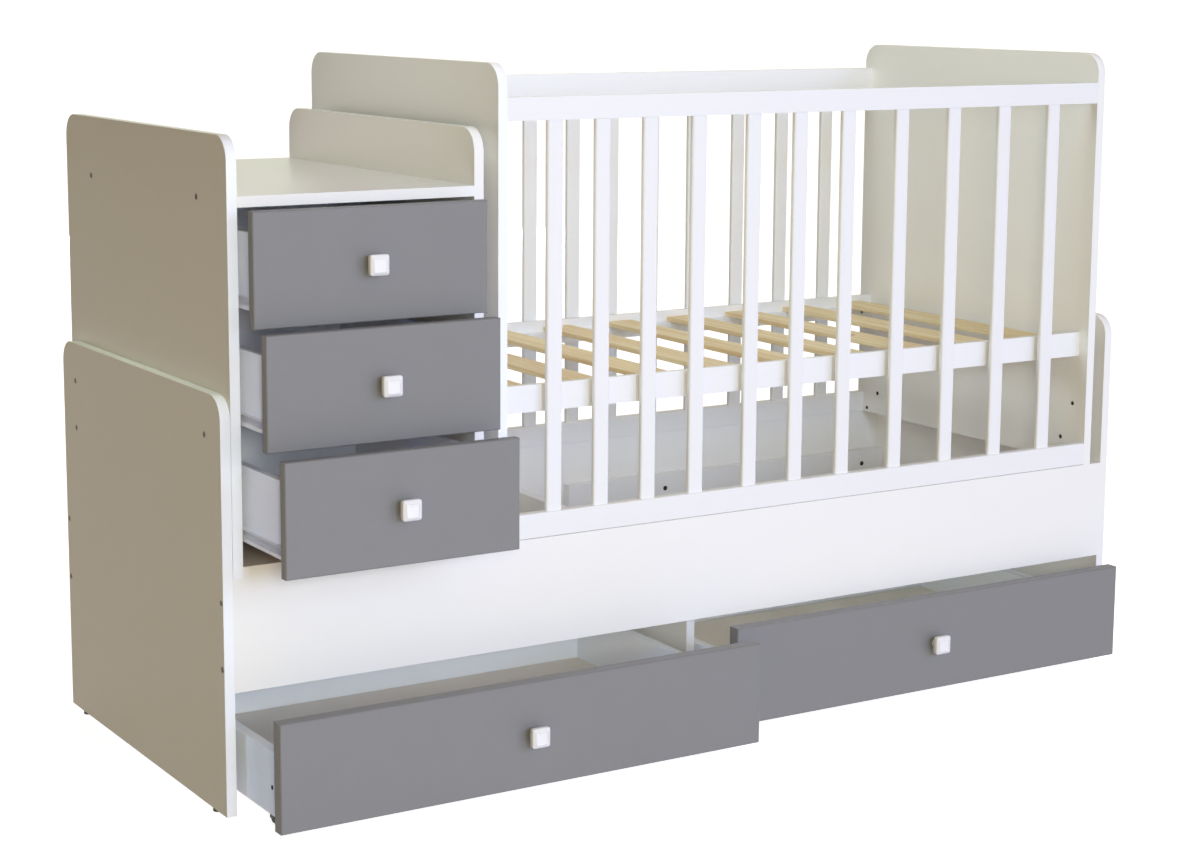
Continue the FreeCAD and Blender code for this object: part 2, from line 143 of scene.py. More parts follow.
class CribColours(bpy.types.PropertyGroup):
    """Colours of the finishes."""
    white_board: bpy.props.FloatVectorProperty(
        name="White board", description="White melamine on the panels and rails",
        default=linear("#f7f6f3"), min=0.0, max=1.0, subtype="COLOR")
    white_lacquer: bpy.props.FloatVectorProperty(
        name="White lacquer", description="Sprayed lacquer on the bars and crib rails",
        default=linear("#f4f4f4"), min=0.0, max=1.0, subtype="COLOR")
    grey_front: bpy.props.FloatVectorProperty(
        name="Grey front", description="Grey melamine on the drawer fronts",
        default=linear("#848485"), min=0.0, max=1.0, subtype="COLOR")
    box_board: bpy.props.FloatVectorProperty(
        name="Box board", description="Cool white foil on the drawer boxes",
        default=linear("#ecf5fd"), min=0.0, max=1.0, subtype="COLOR")
    sheet_face: bpy.props.FloatVectorProperty(
        name="Sheet face", description="Painted face of the hardboard sheets",
        default=linear("#e4dfd3"), min=0.0, max=1.0, subtype="COLOR")
    sheet_back: bpy.props.FloatVectorProperty(
        name="Sheet back", description="Bare face of the hardboard sheets",
        default=linear("#b8946a"), min=0.0, max=1.0, subtype="COLOR")
    pine_early: bpy.props.FloatVectorProperty(
        name="Pine", description="Pale early wood of the slats",
        default=linear("#fdeec8"), min=0.0, max=1.0, subtype="COLOR")
    pine_late: bpy.props.FloatVectorProperty(
        name="Pine ring", description="Darker late wood of the slats",
        default=linear("#ecd19e"), min=0.0, max=1.0, subtype="COLOR")
    pine_knot: bpy.props.FloatVectorProperty(
        name="Pine knot", description="Knots in the slats",
        default=linear("#a87848"), min=0.0, max=1.0, subtype="COLOR")
    screw_brown: bpy.props.FloatVectorProperty(
        name="Screw brown", description="Bronzed screw heads",
        default=linear("#3a2c22"), min=0.0, max=1.0, subtype="COLOR")
    floor: bpy.props.FloatVectorProperty(
        name="Floor", description="Pale studio floor",
        default=linear("#f4f4f4"), min=0.0, max=1.0, subtype="COLOR")


def add_node(tree, kind, settings=None, links=None):
    """Add a node, set its sockets or properties, and link its inputs."""
    node = tree.nodes.new(kind)
    for name, value in (settings or {}).items():
        if isinstance(name, int) or name in node.inputs:
            node.inputs[name].default_value = value
        else:
            setattr(node, name, value)
    for name, source in (links or {}).items():
        tree.links.new(source, node.inputs[name])
    return node


def start_material(name):
    """Empty node material with its output, shader and the piece's own coordinates."""
    material = bpy.data.materials.new(name)
    material.use_nodes = True
    tree = material.node_tree
    tree.nodes.clear()
    shader = add_node(tree, "ShaderNodeBsdfPrincipled")
    add_node(tree, "ShaderNodeOutputMaterial", links={"Surface": shader.outputs["BSDF"]})
    place = add_node(tree, "ShaderNodeTexCoord").outputs["Object"]
    return material, tree, shader, place


def lead_in(tree, shader, tone, sheen, bump):
    """Lead a finish's colour, roughness and relief into its shader."""
    tree.links.new(tone.outputs[MIX_RESULT], shader.inputs["Base Color"])
    tree.links.new(sheen.outputs["Result"], shader.inputs["Roughness"])
    tree.links.new(bump.outputs["Normal"], shader.inputs["Normal"])


def melamine_board(name, colour, gloss, contrast):
    """Melamine-faced chipboard, pressed against a steel plate with a fine pearl texture.

    The eye gets an even face with a very faint cloud, a soft reflection and a pearly grain.
    """
    cloud_size = 45.0 * MM
    gloss_spread = 0.08
    # A real pearl is about half a millimetre; it is drawn coarser so that it shows.
    pearl_size = 1.8 * MM
    pearl_depth = 0.04 * MM
    material, tree, shader, place = start_material(name)
    cloud = add_node(tree, "ShaderNodeTexNoise",
                     {"Scale": 1.0 / cloud_size, "Detail": 3.0, "Roughness": 0.55}, {"Vector": place})
    tone = add_node(tree, "ShaderNodeMix",
                    {"data_type": "RGBA", MIX_FIRST: shaded(colour, 1.0 - contrast),
                     MIX_SECOND: rgba(colour)}, {MIX_SHARE: cloud.outputs["Fac"]})
    sheen = add_node(tree, "ShaderNodeMapRange",
                     {"To Min": gloss, "To Max": gloss + gloss_spread}, {"Value": cloud.outputs["Fac"]})
    pearl = add_node(tree, "ShaderNodeTexNoise",
                     {"Scale": 1.0 / pearl_size, "Detail": 1.0}, {"Vector": place})
    bump = add_node(tree, "ShaderNodeBump",
                    {"Strength": 0.35, "Distance": pearl_depth}, {"Height": pearl.outputs["Fac"]})
    shader.inputs["IOR"].default_value = 1.5
    lead_in(tree, shader, tone, sheen, bump)
    return material


def lacquered_wood(name, colour, grain):
    """Solid wood under sprayed white lacquer, its grain along the given axis.

    The eye gets a satin white with faint lines of grain telegraphing along the piece.
    """
    grain_width = 2.5 * MM
    grain_length = 140.0 * MM
    grain_depth = 0.06 * MM
    grain_shade = 0.965
    material, tree, shader, place = start_material(name)
    scale = [1.0 / grain_width] * 3
    scale[grain] = 1.0 / grain_length
    along = add_node(tree, "ShaderNodeMapping", {"Scale": scale}, {"Vector": place})
    lines = add_node(tree, "ShaderNodeTexNoise",
                     {"Scale": 1.0, "Detail": 2.0, "Distortion": 0.4}, {"Vector": along.outputs["Vector"]})
    tone = add_node(tree, "ShaderNodeMix",
                    {"data_type": "RGBA", MIX_FIRST: shaded(colour, grain_shade),
                     MIX_SECOND: rgba(colour)}, {MIX_SHARE: lines.outputs["Fac"]})
    sheen = add_node(tree, "ShaderNodeMapRange",
                     {"To Min": 0.30, "To Max": 0.40}, {"Value": lines.outputs["Fac"]})
    bump = add_node(tree, "ShaderNodeBump",
                    {"Strength": 0.3, "Distance": grain_depth}, {"Height": lines.outputs["Fac"]})
    shader.inputs["IOR"].default_value = 1.5
    lead_in(tree, shader, tone, sheen, bump)
    return material


def planed_pine(colours):
    """Planed softwood, left bare.

    The eye gets warm growth rings along each slat, a few knots and a dry, matt face.
    """
    ring_width = 7.0 * MM
    ring_length = 420.0 * MM
    # Real fibres are finer than a tenth of a millimetre; they are drawn coarser so that they show.
    fibre_width = 0.9 * MM
    fibre_length = 60.0 * MM
    fibre_depth = 0.12 * MM
    fibre_contrast = 0.12
    # Radius of a knot and of its heart, the first as a share of the pitch, the second of the knot.
    knot_pitch = 130.0 * MM
    knot_share = 0.075
    heart_share = 0.45
    material, tree, shader, place = start_material("planed_pine")
    slow = add_node(tree, "ShaderNodeMapping",
                    {"Scale": (1.0 / ring_width, 1.0 / ring_length, 1.0 / ring_width)}, {"Vector": place})
    rings = add_node(tree, "ShaderNodeTexNoise",
                     {"Scale": 1.0, "Detail": 3.0, "Distortion": 1.2}, {"Vector": slow.outputs["Vector"]})
    bands = add_node(tree, "ShaderNodeMapRange",
                     {"From Min": 0.38, "From Max": 0.62}, {"Value": rings.outputs["Fac"]})
    fine = add_node(tree, "ShaderNodeMapping",
                    {"Scale": (1.0 / fibre_width, 1.0 / fibre_length, 1.0 / fibre_width)}, {"Vector": place})
    fibres = add_node(tree, "ShaderNodeTexNoise",
                      {"Scale": 1.0, "Detail": 2.0}, {"Vector": fine.outputs["Vector"]})
    knots = add_node(tree, "ShaderNodeTexVoronoi",
                     {"Scale": 1.0 / knot_pitch, "Randomness": 1.0}, {"Vector": place})
    spots = add_node(tree, "ShaderNodeMapRange",
                     {"From Min": knot_share, "From Max": knot_share * heart_share, "To Max": 0.85},
                     {"Value": knots.outputs["Distance"]})
    wood = add_node(tree, "ShaderNodeMix",
                    {"data_type": "RGBA", MIX_FIRST: rgba(colours.pine_late),
                     MIX_SECOND: rgba(colours.pine_early)}, {MIX_SHARE: bands.outputs["Result"]})
    fibred = add_node(tree, "ShaderNodeMix",
                      {"data_type": "RGBA", "blend_type": "MULTIPLY", MIX_SHARE: fibre_contrast},
                      {MIX_FIRST: wood.outputs[MIX_RESULT], MIX_SECOND: fibres.outputs["Color"]})
    tone = add_node(tree, "ShaderNodeMix", {"data_type": "RGBA", MIX_SECOND: rgba(colours.pine_knot)},
                    {MIX_SHARE: spots.outputs["Result"], MIX_FIRST: fibred.outputs[MIX_RESULT]})
    sheen = add_node(tree, "ShaderNodeMapRange",
                     {"To Min": 0.5, "To Max": 0.68}, {"Value": bands.outputs["Result"]})
    bump = add_node(tree, "ShaderNodeBump",
                    {"Strength": 0.5, "Distance": fibre_depth}, {"Height": fibres.outputs["Fac"]})
    lead_in(tree, shader, tone, sheen, bump)
    return material


def faced_hardboard(name, colours, axis, direction):
    """Pressed wood fibre, painted on the face that points along the axis and bare elsewhere.

    The eye gets a pale, slightly warm face and a brown, felted back.
    """
    fibre_size = 2.2 * MM
    fibre_depth = 0.1 * MM
    bare_shade = 0.72
    painted_shade = 0.94
    least_facing = 0.5
    material, tree, shader, place = start_material(name)
    fibres = add_node(tree, "ShaderNodeTexNoise",
                      {"Scale": 1.0 / fibre_size, "Detail": 4.0, "Distortion": 1.5}, {"Vector": place})
    side = add_node(tree, "ShaderNodeNewGeometry")
    split = add_node(tree, "ShaderNodeSeparateXYZ", links={"Vector": side.outputs["Normal"]})
    shown = add_node(tree, "ShaderNodeMath", {"operation": "MULTIPLY", 1: direction},
                     {0: split.outputs[axis]})
    front = add_node(tree, "ShaderNodeMath", {"operation": "GREATER_THAN", 1: least_facing},
                     {0: shown.outputs["Value"]})
    bare = add_node(tree, "ShaderNodeMix",
                    {"data_type": "RGBA", MIX_FIRST: shaded(colours.sheet_back, bare_shade),
                     MIX_SECOND: rgba(colours.sheet_back)}, {MIX_SHARE: fibres.outputs["Fac"]})
    painted = add_node(tree, "ShaderNodeMix",
                       {"data_type": "RGBA", MIX_FIRST: shaded(colours.sheet_face, painted_shade),
                        MIX_SECOND: rgba(colours.sheet_face)}, {MIX_SHARE: fibres.outputs["Fac"]})
    tone = add_node(tree, "ShaderNodeMix", {"data_type": "RGBA"},
                    {MIX_SHARE: front.outputs["Value"], MIX_FIRST: bare.outputs[MIX_RESULT],
                     MIX_SECOND: painted.outputs[MIX_RESULT]})
    sheen = add_node(tree, "ShaderNodeMapRange",
                     {"To Min": 0.7, "To Max": 0.42}, {"Value": front.outputs["Value"]})
    bump = add_node(tree, "ShaderNodeBump",
                    {"Strength": 0.3, "Distance": fibre_depth}, {"Height": fibres.outputs["Fac"]})
    lead_in(tree, shader, tone, sheen, bump)
    return material


def coated_metal(name, colour, metallic, roughness, peel_size):
    """Steel with a thin coat: powder paint, blacking, bronzing or zinc.

    The eye gets the coat's fine orange peel or crystal, brighter and darker from spot to spot.
    """
    peel_depth = 0.05 * MM
    peel_shade = 0.82
    smoother = 0.08
    rougher = 0.1
    material, tree, shader, place = start_material(name)
    peel = add_node(tree, "ShaderNodeTexNoise",
                    {"Scale": 1.0 / peel_size, "Detail": 2.0}, {"Vector": place})
    tone = add_node(tree, "ShaderNodeMix",
                    {"data_type": "RGBA", MIX_FIRST: shaded(colour, peel_shade),
                     MIX_SECOND: rgba(colour)}, {MIX_SHARE: peel.outputs["Fac"]})
    sheen = add_node(tree, "ShaderNodeMapRange",
                     {"To Min": roughness - smoother, "To Max": roughness + rougher},
                     {"Value": peel.outputs["Fac"]})
    bump = add_node(tree, "ShaderNodeBump",
                    {"Strength": 0.3, "Distance": peel_depth}, {"Height": peel.outputs["Fac"]})
    shader.inputs["Metallic"].default_value = metallic
    lead_in(tree, shader, tone, sheen, bump)
    return material


def moulded_plastic(name, hex_text, roughness):
    """Injection-moulded plastic: ABS for the knobs, nylon for glides, sleeves and wheels.

    The eye gets a clean colour with the mould's faint unevenness in the reflections.
    """
    flow_size = 9.0 * MM
    flow_depth = 0.1 * MM
    flow_shade = 0.93
    smoother = 0.04
    rougher = 0.06
    material, tree, shader, place = start_material(name)
    flow = add_node(tree, "ShaderNodeTexNoise",
                    {"Scale": 1.0 / flow_size, "Detail": 2.0}, {"Vector": place})
    colour = linear(hex_text)
    tone = add_node(tree, "ShaderNodeMix",
                    {"data_type": "RGBA", MIX_FIRST: shaded(colour, flow_shade),
                     MIX_SECOND: rgba(colour)}, {MIX_SHARE: flow.outputs["Fac"]})
    sheen = add_node(tree, "ShaderNodeMapRange",
                     {"To Min": roughness - smoother, "To Max": roughness + rougher},
                     {"Value": flow.outputs["Fac"]})
    bump = add_node(tree, "ShaderNodeBump",
                    {"Strength": 0.08, "Distance": flow_depth}, {"Height": flow.outputs["Fac"]})
    shader.inputs["IOR"].default_value = 1.53
    lead_in(tree, shader, tone, sheen, bump)
    return material


def turned_beech():
    """Turned beech, bare.

    The eye gets a pale, close-grained wood with short dark flecks along it.
    """
    # A real fleck is about half a millimetre wide; it is drawn coarser so that it shows.
    fleck_width = 0.8 * MM
    lengthways_share = 0.15
    material, tree, shader, place = start_material("turned_beech")
    across = 1.0 / fleck_width
    along = add_node(tree, "ShaderNodeMapping",
                     {"Scale": (across, across, lengthways_share / fleck_width)}, {"Vector": place})
    flecks = add_node(tree, "ShaderNodeTexNoise",
                      {"Scale": 1.0, "Detail": 2.0}, {"Vector": along.outputs["Vector"]})
    tone = add_node(tree, "ShaderNodeMix",
                    {"data_type": "RGBA", MIX_FIRST: rgba(linear("#b98f62")),
                     MIX_SECOND: rgba(linear("#d9b88a"))}, {MIX_SHARE: flecks.outputs["Fac"]})
    shader.inputs["Roughness"].default_value = 0.6
    tree.links.new(tone.outputs[MIX_RESULT], shader.inputs["Base Color"])
    return material


def nodes_of(slot):
    """CAD objects whose pieces take this material slot."""
    return [frame["nodes"][row["node"]] for row in frame["record"]["subparts"]
            if row["material_slot"] == slot]


def dress(obj, material, edge, rounds=2):
    """Give a CAD object its finish and soften its edges, leaving its mesh as it is."""
    seam = 0.005 * MM
    flat_turn = math.radians(1.0)
    edge_turn = math.radians(40.0)
    obj.data.materials.clear()
    obj.data.materials.append(material)
    weld = obj.modifiers.new("weld", "WELD")
    weld.merge_threshold = seam
    flat = obj.modifiers.new("flat", "DECIMATE")
    flat.decimate_type = "DISSOLVE"
    flat.angle_limit = flat_turn
    bevel = obj.modifiers.new("edge", "BEVEL")
    bevel.width = edge
    bevel.segments = rounds
    bevel.limit_method = "ANGLE"
    bevel.angle_limit = edge_turn
    bevel.harden_normals = True


def ring(centre, axis, half, roundness, count):
    """Points of a superellipse round an axis: a higher roundness than a circle's is squarer."""
    axes = [index for index in range(3) if index != axis]
    points = []
    for step in range(count):
        angle = 2.0 * math.pi * (step + 0.5) / count
        point = Vector(centre)
        for index, wave in zip(axes, (math.cos(angle), math.sin(angle))):
            point[index] += half * math.copysign(abs(wave) ** (CIRCLE / roundness), wave)
        points.append(point)
    return points


def loft(name, rings, closed, material, smooth=True):
    """Mesh through a row of rings, its ends capped or, if closed, joined to each other."""
    mesh = bpy.data.meshes.new(name)
    shape = bmesh.new()
    rows = [[shape.verts.new(point) for point in points] for points in rings]
    pairs = list(zip(rows, rows[1:]))
    if closed:
        pairs.append((rows[-1], rows[0]))
    for lower, upper in pairs:
        for step in range(len(lower)):
            after = (step + 1) % len(lower)
            shape.faces.new((lower[step], lower[after], upper[after], upper[step]))
    if not closed:
        shape.faces.new(rows[0])
        shape.faces.new(rows[-1])
    bmesh.ops.recalc_face_normals(shape, faces=shape.faces)
    # The walls are four-sided; the caps stay flat.
    for face in shape.faces:
        face.smooth = smooth and len(face.verts) == 4
    shape.to_mesh(mesh)
    shape.free()
    mesh.materials.append(material)
    obj = bpy.data.objects.new(name, mesh)
    bpy.context.scene.collection.objects.link(obj)
    return obj


class CRIB_OT_white_boards(bpy.types.Operator):
    """Finish the white panels, rails, partition and chest boards"""
    bl_idname = "crib.white_boards"
    bl_label = "White boards"

    def execute(self, context):
        colour = context.scene.crib_colours.white_board
        white = melamine_board("white_melamine_board", colour, gloss=0.30, contrast=0.02)
        for obj in nodes_of("white_laminate"):
            dress(obj, white, context.scene.crib_sizes.board_edge)
        return {"FINISHED"}


class CRIB_OT_crib_sides(bpy.types.Operator):
    """Finish the bars, crib rails, base rails and ledgers"""
    bl_idname = "crib.crib_sides"
    bl_label = "Crib sides"

    def execute(self, context):
        sizes = context.scene.crib_sizes
        colour = context.scene.crib_colours.white_lacquer
        upright = lacquered_wood("white_lacquered_beech_bars", colour, grain=Z_AXIS)
        lengthways = lacquered_wood("white_lacquered_pine_rails", colour, grain=X_AXIS)
        for obj in nodes_of("white_painted_wood"):
            if obj.name in BARS:
                dress(obj, upright, sizes.bar_edge, rounds=4)
            else:
                dress(obj, lengthways, sizes.rail_edge, rounds=3)
        for node in BOTTOM_RAILS:
            low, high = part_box(node)
            rings = [rail_section(end, low, high, sizes) for end in (low.x, high.x)]
            rail = loft(node + "_on_tongue", rings, False, lengthways, smooth=False)
            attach(rail, "frame")
            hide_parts(node)
        return {"FINISHED"}


def rail_section(place, low, high, sizes):
    """Outline across a bottom rail: rounded on top, standing on a tongue between two shadow gaps."""
    tongue = 6.0 * MM
    foot_edge = 0.8 * MM
    top_edge = sizes.rail_edge
    steps = 4
    middle = (low.y + high.y) / 2.0
    sole = low.z + sizes.rail_gap
    # Corner, the way from it into the rail, its rounding and the angle where that starts.
    corners = ((low.y, sole, 1.0, 1.0, foot_edge, 270.0),
               (low.y, high.z, 1.0, -1.0, top_edge, 180.0),
               (high.y, high.z, -1.0, -1.0, top_edge, 90.0),
               (high.y, sole, -1.0, 1.0, foot_edge, 0.0))
    outline = [(middle - tongue / 2.0, low.z), (middle - tongue / 2.0, sole)]
    for across, height, inward, upward, radius, start in corners:
        for step in range(steps + 1):
            angle = math.radians(start - 90.0 * step / steps)
            outline.append((across + inward * radius + radius * math.cos(angle),
                            height + upward * radius + radius * math.sin(angle)))
    outline += [(middle + tongue / 2.0, sole), (middle + tongue / 2.0, low.z)]
    return [Vector((place, across, height)) for across, height in outline]


class CRIB_OT_slatted_base(bpy.types.Operator):
    """Finish the pine slats"""
    bl_idname = "crib.slatted_base"
    bl_label = "Slatted base"

    def execute(self, context):
        pine = planed_pine(context.scene.crib_colours)
        for obj in nodes_of("pine"):
            dress(obj, pine, context.scene.crib_sizes.slat_edge, rounds=3)
        return {"FINISHED"}


class CRIB_OT_drawer_fronts(bpy.types.Operator):
    """Finish the five grey drawer fronts"""
    bl_idname = "crib.drawer_fronts"
    bl_label = "Drawer fronts"

    def execute(self, context):
        # The fronts have thinner edging than the white boards.
        edging_share = 0.6
        colour = context.scene.crib_colours.grey_front
        grey = melamine_board("grey_melamine_board", colour, gloss=0.42, contrast=0.05)
        for obj in nodes_of("grey_laminate"):
            dress(obj, grey, context.scene.crib_sizes.board_edge * edging_share)
        return {"FINISHED"}


class CRIB_OT_drawer_boxes(bpy.types.Operator):
    """Finish the drawer boxes, their bottoms and the chest's back sheet"""
    bl_idname = "crib.drawer_boxes"
    bl_label = "Drawer boxes"

    def execute(self, context):
        sizes = context.scene.crib_sizes
        colours = context.scene.crib_colours
        foil = melamine_board("cool_white_foiled_board", colours.box_board, gloss=0.30, contrast=0.03)
        bottom = faced_hardboard("painted_hardboard_bottom", colours, axis="Z", direction=1.0)
        back = faced_hardboard("painted_hardboard_back", colours, axis="Y", direction=-1.0)
        for obj in nodes_of("white_box_board"):
            dress(obj, foil, sizes.board_edge)
        for obj in nodes_of("white_sheet"):
            dress(obj, back if obj.name == "chest_back_sheet" else bottom, sizes.metal_edge)
        return {"FINISHED"}


class CRIB_OT_runners(bpy.types.Operator):
    """Finish the drawer runners and model the rolled channels above their feet"""
    bl_idname = "crib.runners"
    bl_label = "Runners"

    def execute(self, context):
        paint = coated_metal("white_powder_coated_steel", linear("#e6ebf0"),
                             metallic=0.0, roughness=0.38, peel_size=1.2 * MM)
        for obj in nodes_of("white_steel"):
            dress(obj, paint, context.scene.crib_sizes.metal_edge)
        sheet = 1.2 * MM
        # Lean away from the web and height above the runner's foot, round the channel's section.
        section = ((-0.3 * MM, 6.0 * MM), (2.4 * MM, 12.6 * MM), (5.0 * MM, 16.0 * MM),
                   (5.0 * MM, 16.8 * MM), (-0.3 * MM, 16.8 * MM))
        for drawer in CHEST_DRAWERS:
            low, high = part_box(drawer + "_runners")
            box_low, box_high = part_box(drawer + "_box")
            for hand, web, out in (("left", box_low.x - sheet, -1.0), ("right", box_high.x + sheet, 1.0)):
                rings = [[Vector((web + out * lean, end, low.z + rise)) for lean, rise in section]
                         for end in (low.y, high.y)]
                channel = loft(drawer + "_" + hand + "_runner_channel", rings, False, paint, smooth=False)
                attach(channel, drawer)
        return {"FINISHED"}


class CRIB_OT_knobs(bpy.types.Operator):
    """Model the square knobs and the screws that hold them"""
    bl_idname = "crib.knobs"
    bl_label = "Knobs"

    def execute(self, context):
        sizes = context.scene.crib_sizes
        plastic = moulded_plastic("white_moulded_abs", "#f7f7f8", roughness=0.18)
        steel = coated_metal("zinc_plated_screw_steel", linear("#b9b8b2"),
                             metallic=1.0, roughness=0.40, peel_size=0.8 * MM)
        reach = sizes.knob_reach
        profile = knob_profile(sizes)
        head = 4.5 * MM
        # Depth below the top of the screw's head and radius of each ring, round into its socket.
        head_profile = ((3.0 * MM, head), (1.2 * MM, head), (0.5 * MM, head - 0.6 * MM),
                        (0.0, head - 2.0 * MM), (0.0, 1.5 * MM), (1.2 * MM, 1.2 * MM))
        for drawer in CHEST_DRAWERS + BED_DRAWERS:
            node = drawer + "_knob"
            low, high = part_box(node)
            middle = (low + high) / 2.0
            front = low.y + reach
            rings = [ring((middle.x, front - out, middle.z), Y_AXIS, size, roundness, KNOB_POINTS)
                     for out, size, roundness in profile]
            knob = loft(drawer + "_square_knob", rings, False, plastic)
            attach(knob, drawer)
            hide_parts(node)
            rings = [ring((middle.x, high.y - depth, middle.z), Y_AXIS, size, CIRCLE, SCREW_POINTS)
                     for depth, size in head_profile]
            screw = loft(drawer + "_knob_screw", rings, False, steel)
            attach(screw, drawer)
        return {"FINISHED"}


def knob_profile(sizes):
    """Distance from the drawer front, half width and roundness of a knob's rings, neck to face."""
    half = sizes.knob_size / 2.0
    face = sizes.knob_face / 2.0
    reach = sizes.knob_reach
    recess = 1.2 * MM
    sunk = reach - recess
    neck = 8.0 * MM
    return ((0.0, neck + 0.6 * MM, CIRCLE), (0.7 * MM, neck + 0.2 * MM, CIRCLE), (1.5 * MM, neck, CIRCLE),
            (8.0 * MM, neck, CIRCLE), (9.2 * MM, neck + 0.6 * MM, 2.1), (9.9 * MM, neck + 2.4 * MM, 2.6),
            (10.2 * MM, half - 3.0 * MM, 5.0), (10.9 * MM, half - 1.1 * MM, 7.0),
            (12.2 * MM, half - 0.3 * MM, 8.5), (14.0 * MM, half, 9.0), (19.4 * MM, half, 9.0),
            (20.4 * MM, half - 0.3 * MM, 9.0), (21.2 * MM, half - 1.1 * MM, 9.0),
            (reach - 0.9 * MM, face + 2.0 * MM, 9.0), (reach - 0.4 * MM, face + 1.3 * MM, 9.0),
            (reach, face + 0.8 * MM, 9.5), (reach, face + 0.3 * MM, 10.0),
            (reach - 0.2 * MM, face, 10.0), (sunk + 0.2 * MM, face - 0.3 * MM, 10.0),
            (sunk, face - 0.8 * MM, 10.0), (sunk, 2.0 * MM, 3.0))


class CRIB_OT_castors(bpy.types.Operator):
    """Finish the castor brackets and model their wheels"""
    bl_idname = "crib.castors"
    bl_label = "Castors"

    def execute(self, context):
        sizes = context.scene.crib_sizes
        black = coated_metal("black_coated_folded_steel", linear("#1d1d1e"),
                             metallic=0.0, roughness=0.45, peel_size=1.2 * MM)
        nylon = moulded_plastic("black_moulded_nylon_wheel", "#161617", roughness=0.42)
        for obj in nodes_of("black_steel"):
            dress(obj, black, sizes.metal_edge)
        half = sizes.wheel_width / 2.0
        profile = wheel_profile(half)
        for drawer in BED_DRAWERS:
            for place in ("front", "rear"):
                node = drawer + "_" + place + "_wheels"
                low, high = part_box(node)
                middle = (low + high) / 2.0
                for hand, centre in (("left", low.x + half), ("right", high.x - half)):
                    rings = [ring((centre + along, middle.y, middle.z), X_AXIS, size, CIRCLE, WHEEL_POINTS)
                             for along, size in profile]
                    wheel = loft(drawer + "_" + place + "_" + hand + "_wheel", rings, True, nylon)
                    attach(wheel, node)
                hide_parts(node)
        return {"FINISHED"}


def wheel_profile(half):
    """Place along the axle and radius of a wheel's rings: hub, sunk web, rim and tread."""
    radius = 12.0 * MM
    bore = 3.0 * MM
    side = ((half, bore), (half, bore + 2.6 * MM), (half - 0.9 * MM, bore + 3.4 * MM),
            (half - 0.9 * MM, radius - 3.2 * MM), (half, radius - 2.4 * MM),
            (half - 0.4 * MM, radius - 0.9 * MM), (half - 1.4 * MM, radius - 0.1 * MM),
            (half - 2.2 * MM, radius))
    return [(-place, size) for place, size in side] + list(reversed(side))


class CRIB_OT_fixings(bpy.types.Operator):
    """Finish the screws, bolts, dowels and glides, and add side screws, foot screws and sleeves"""
    bl_idname = "crib.fixings"
    bl_label = "Fixings"

    def execute(self, context):
        sizes = context.scene.crib_sizes
        bronze = coated_metal("bronzed_screw_steel", context.scene.crib_colours.screw_brown,
                              metallic=0.3, roughness=0.4, peel_size=1.0 * MM)
        zinc = coated_metal("zinc_plated_bolt_steel", linear("#8c8a84"),
                            metallic=1.0, roughness=0.40, peel_size=1.0 * MM)
        nylon = moulded_plastic("black_moulded_nylon_glide", "#1a1a1a", roughness=0.48)
        brown = moulded_plastic("brown_moulded_nylon_sleeve", "#33261d", roughness=0.5)
        for slot, material in (("brown_plastic", bronze), ("zinc_steel", zinc), ("beech", turned_beech())):
            for obj in nodes_of(slot):
                dress(obj, material, sizes.metal_edge)
        dress(frame["nodes"]["floor_glides"], nylon, sizes.board_edge)
        add_side_screws(sizes.side_screw / 2.0, bronze)
        add_panel_fixings(sizes.side_screw / 2.0, bronze, brown)
        return {"FINISHED"}


def add_side_screws(radius, bronze):
    """One screw head on each side of both bed drawers' boxes."""
    setback = 43.0 * MM
    height = 71.0 * MM
    for drawer in BED_DRAWERS:
        low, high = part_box(drawer + "_box")
        for hand, start, out in (("left", low.x, -1.0), ("right", high.x, 1.0)):
            screw = screw_head(drawer + "_" + hand + "_side_screw",
                               (start, low.y + setback, height), out, radius, bronze)
            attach(screw, drawer)


def add_panel_fixings(radius, bronze, brown):
    """Foot screws on the inner faces of the crib's end panels, and sleeves in their spare holes."""
    foot_inset = 30.0 * MM
    foot_height = 374.0 * MM
    # Name, inset from the panel's edge and height of the two rows of spare holes.
    spare_rows = (("low", 62.0 * MM, 408.0 * MM), ("high", 34.0 * MM, 474.0 * MM))
    for panel, inward in (("crib_left_end", 1.0), ("crib_right_end", -1.0)):
        low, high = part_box(panel)
        face = high.x if inward > 0.0 else low.x
        for end, edge, back in (("front", low.y, 1.0), ("rear", high.y, -1.0)):
            screw = screw_head(panel + "_" + end + "_foot_screw",
                               (face, edge + back * foot_inset, foot_height), inward, radius, bronze)
            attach(screw, "frame")
            for row, inset, height in spare_rows:
                sleeve = hole_sleeve(panel + "_" + end + "_" + row + "_sleeve",
                                     (face, edge + back * inset, height), inward, brown)
                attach(sleeve, "frame")


def screw_head(name, place, out, radius, material):
    """Domed screw head with a socket, standing on a face and pointing along X."""
    # Height above the face and radius of each ring, round into the socket.
    profile = ((-0.4 * MM, radius), (0.3 * MM, radius), (0.9 * MM, radius - 0.5 * MM),
               (1.2 * MM, radius - 1.4 * MM), (1.2 * MM, 1.3 * MM), (0.3 * MM, 1.1 * MM))
    rings = [ring((place[0] + out * rise, place[1], place[2]), X_AXIS, size, CIRCLE, SCREW_POINTS)
             for rise, size in profile]
    return loft(name, rings, False, material)


def hole_sleeve(name, place, out, material):
    """Thin cup that lines a spare hole, open towards the mattress."""
    radius = 3.8 * MM
    wall = 0.4 * MM
    lip = 0.25 * MM
    depth = 9.9 * MM
    eye = 0.5 * MM
    profile = ((depth, eye), (depth, radius), (lip, radius), (lip, radius - wall),
               (depth - wall, radius - wall), (depth - wall, eye))
    rings = [ring((place[0] - out * sunk, place[1], place[2]), X_AXIS, size, CIRCLE, SCREW_POINTS)
             for sunk, size in profile]
    return loft(name, rings, False, material)


